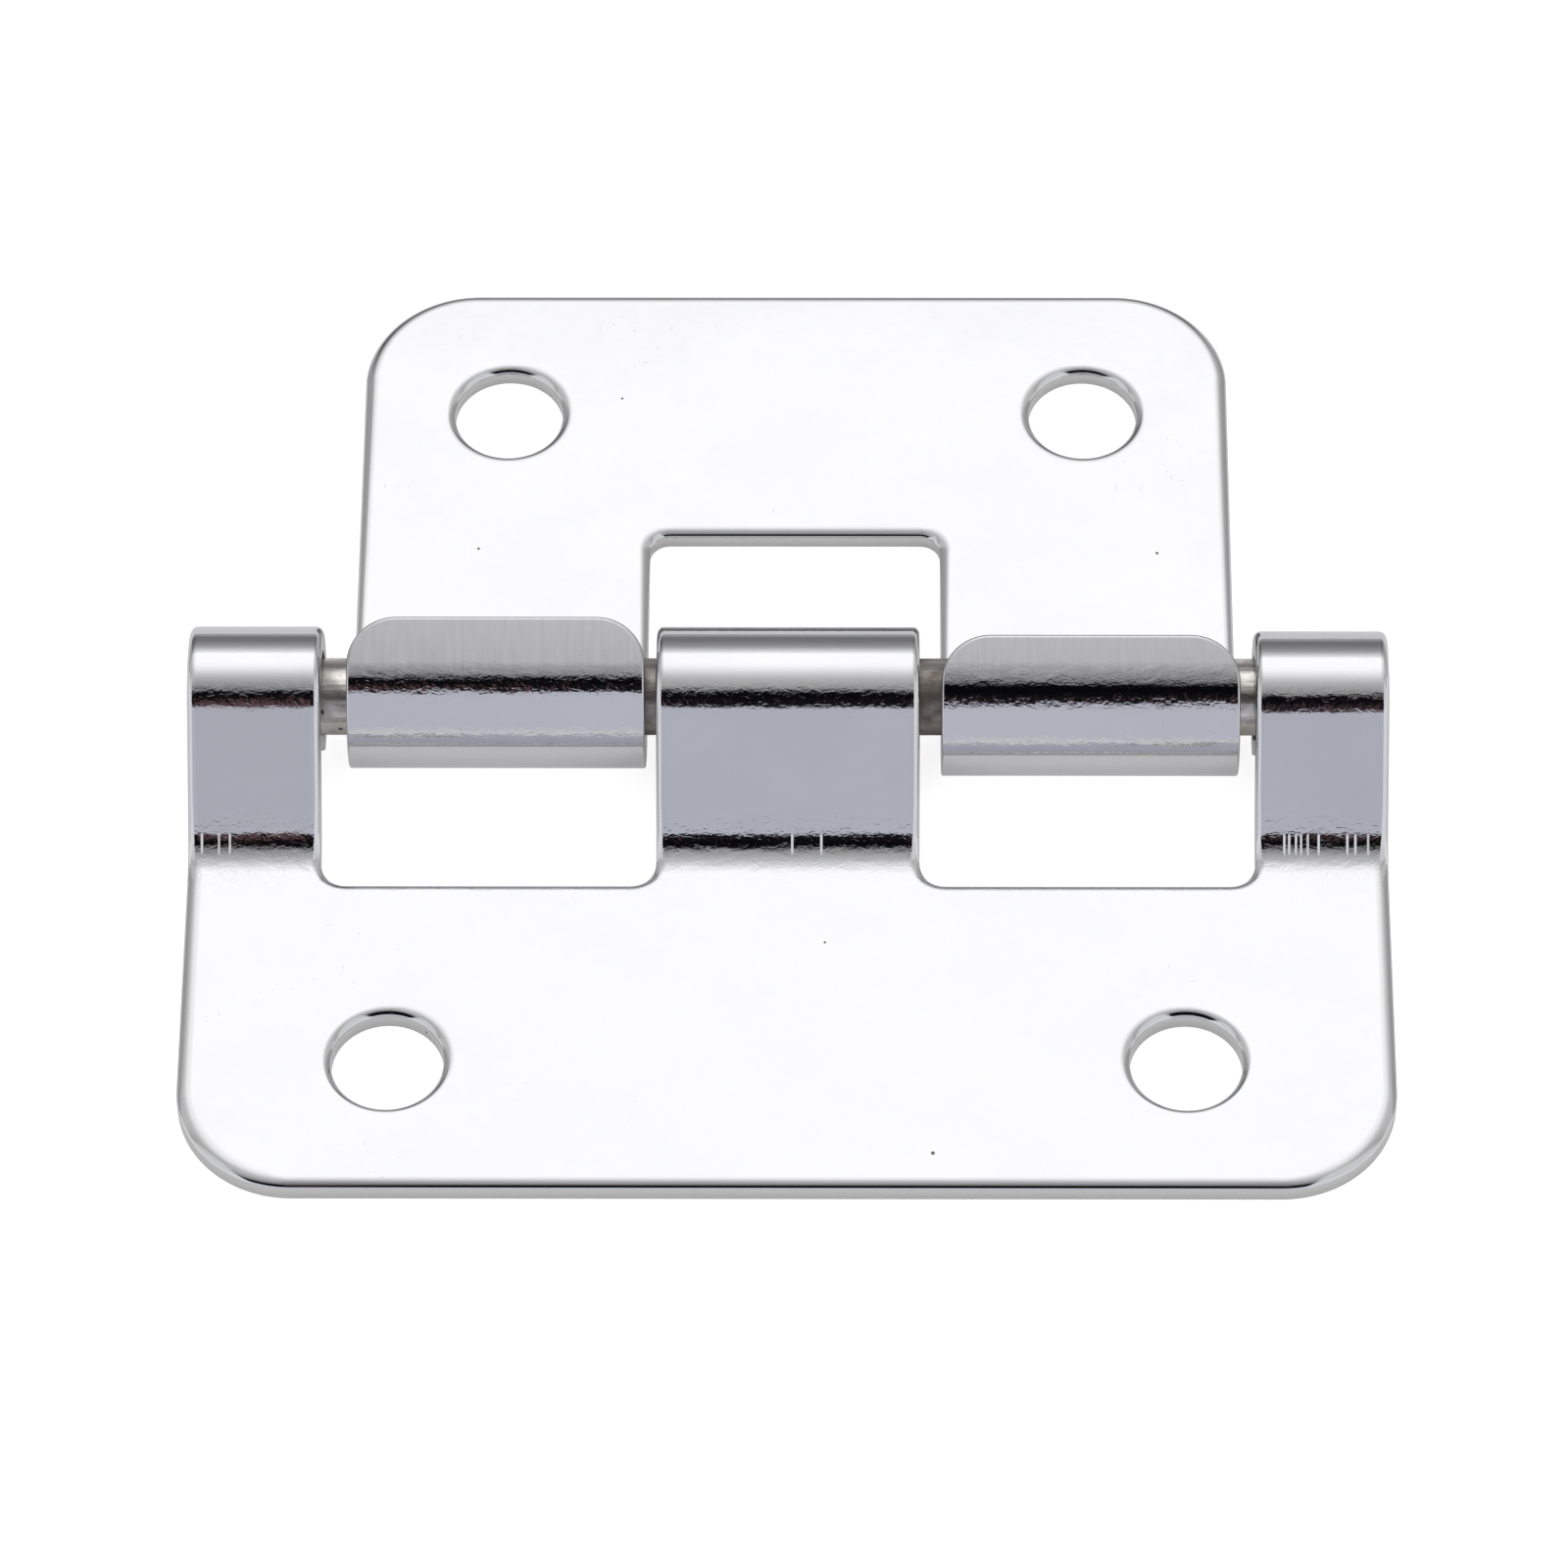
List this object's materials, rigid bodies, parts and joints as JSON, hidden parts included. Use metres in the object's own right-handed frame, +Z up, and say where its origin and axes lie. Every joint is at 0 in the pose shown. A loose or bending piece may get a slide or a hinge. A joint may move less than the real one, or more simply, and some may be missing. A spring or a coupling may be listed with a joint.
{
  "type": "box hinge",
  "caption": "Small stamped sheet hinge for a box lid: leaves with rounded corners and screw holes, whose curled knuckles turn on a plain pin.",
  "frame": {"origin": "under the middle of the hinge's outline as it lies open and flat, on the surface it lies on", "axes": "+X along the pin, +Y from the wide leaf to the narrow leaf, +Z up to the side that shows"},
  "size_m": [0.0466, 0.0432, 0.0064],
  "materials": {
    "bright_plating": "bright nickel plating over stamped steel sheet",
    "dull_steel": "plain drawn steel wire, dull"
  },
  "bodies": {
    "wide_leaf": {"wide_leaf": "bright_plating", "hinge_pin": "dull_steel"},
    "narrow_leaf": {"narrow_leaf": "bright_plating"}
  },
  "joints": [
    {"name": "leaf_fold", "type": "hinge", "parent": "wide_leaf", "child": "narrow_leaf", "pos_m": [0, -0.00017, 0.003], "axis": [1, 0, 0], "range_deg": [-134, 190]}
  ]
}
